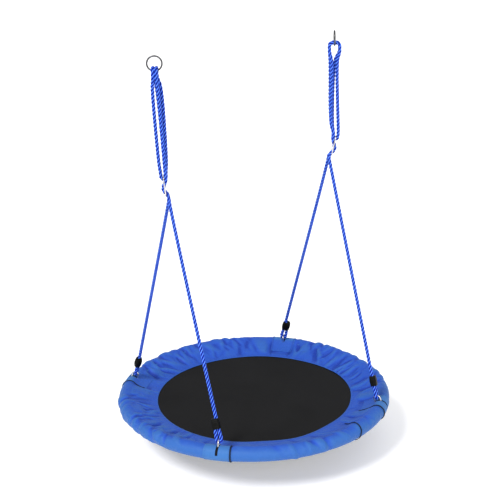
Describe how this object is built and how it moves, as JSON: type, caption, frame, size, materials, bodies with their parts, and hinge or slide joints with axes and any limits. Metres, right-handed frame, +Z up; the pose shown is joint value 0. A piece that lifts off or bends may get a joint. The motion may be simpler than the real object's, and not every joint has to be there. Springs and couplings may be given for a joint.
{
  "type": "saucer nest swing",
  "caption": "Round padded saucer swing seat on a steel tube ring, hung by two doubled ropes with adjuster plates and steel rings.",
  "frame": {"origin": "midway between the two points where the hooks carry the rings, at the height of the hooks' seats", "axes": "+Z up, +X along the line from the left hanging ring to the right one, so the swing swings along Y"},
  "size_m": [1.0998, 1.0998, 1.4847],
  "materials": {
    "cover_fabric": "woven polyester, blue, slightly sheened",
    "patch_fabric": "woven polyester, blue, stitched double",
    "panel_fabric": "black woven mesh-backed polyester, matte",
    "rope": "twisted three-strand polyethylene rope, blue",
    "bright_steel": "zinc-plated steel",
    "tube_steel": "galvanised tube",
    "ferrule_steel": "pressed sleeve",
    "black_plastic": "moulded black plastic, satin",
    "foam": "closed-cell foam",
    "closure_tape": "hook-and-loop tape"
  },
  "bodies": {
    "top_rings": {"left_top_ring": "bright_steel", "right_top_ring": "bright_steel"},
    "left_bights": {"left_ring_bights": "rope"},
    "left_rope": {"left_middle_rope": "rope", "left_adjuster_plate": "bright_steel", "left_front_rope": "rope", "left_front_clamp_cover": "black_plastic", "left_front_ferrule": "ferrule_steel", "left_rear_rope": "rope", "left_rear_clamp_cover": "black_plastic", "left_rear_ferrule": "ferrule_steel"},
    "right_rope": {"right_ring_bights": "rope", "right_middle_rope": "rope", "right_adjuster_plate": "bright_steel", "right_front_rope": "rope", "right_front_clamp_cover": "black_plastic", "right_front_ferrule": "ferrule_steel", "right_rear_rope": "rope", "right_rear_clamp_cover": "black_plastic", "right_rear_ferrule": "ferrule_steel"},
    "seat": {"centre_panel": "panel_fabric", "cover_closure_tape": "closure_tape", "cover_sleeve": "cover_fabric", "cover_web": "cover_fabric", "frame_joint_pins": "ferrule_steel", "frame_joint_spigots": "tube_steel", "left_front_eye_patch": "patch_fabric", "left_front_foam_sleeve": "foam", "left_front_frame_eye": "bright_steel", "left_front_frame_tube": "tube_steel", "left_rear_eye_patch": "patch_fabric", "left_rear_foam_sleeve": "foam", "left_rear_frame_eye": "bright_steel", "left_rear_frame_tube": "tube_steel", "right_front_eye_patch": "patch_fabric", "right_front_foam_sleeve": "foam", "right_front_frame_eye": "bright_steel", "right_front_frame_tube": "tube_steel", "right_rear_eye_patch": "patch_fabric", "right_rear_foam_sleeve": "foam", "right_rear_frame_eye": "bright_steel", "right_rear_frame_tube": "tube_steel"}
  },
  "joints": [
    {"name": "swing", "type": "hinge", "parent": "top_rings", "child": "left_bights", "pos_m": [0, 0, -0.05225], "axis": [1, 0, 0], "range_deg": [-40, 40], "deforming": ["left_ring_bights"]},
    {"name": "sway", "type": "hinge", "parent": "left_bights", "child": "left_rope", "pos_m": [-0.389, 0, -0.05225], "axis": [0, 1, 0], "range_deg": [-12, 12]},
    {"name": "seat_level", "type": "hinge", "parent": "left_rope", "child": "seat", "pos_m": [-0.35674, 0, -1.39852], "axis": [0, 1, 0], "range_deg": [-13.5, 13.5], "deforming": ["left_front_rope", "left_rear_rope"]},
    {"name": "right_hang", "type": "hinge", "parent": "seat", "child": "right_rope", "pos_m": [0.35695, 0, -1.39843], "axis": [0, 1, 0], "range_deg": [-13.5, 13.5], "deforming": ["right_front_rope", "right_rear_rope", "right_ring_bights"]}
  ],
  "couplings": [
    {"joint": "seat_level", "follows": "sway", "ratio": -1.091},
    {"joint": "right_hang", "follows": "sway", "ratio": 1.092}
  ]
}
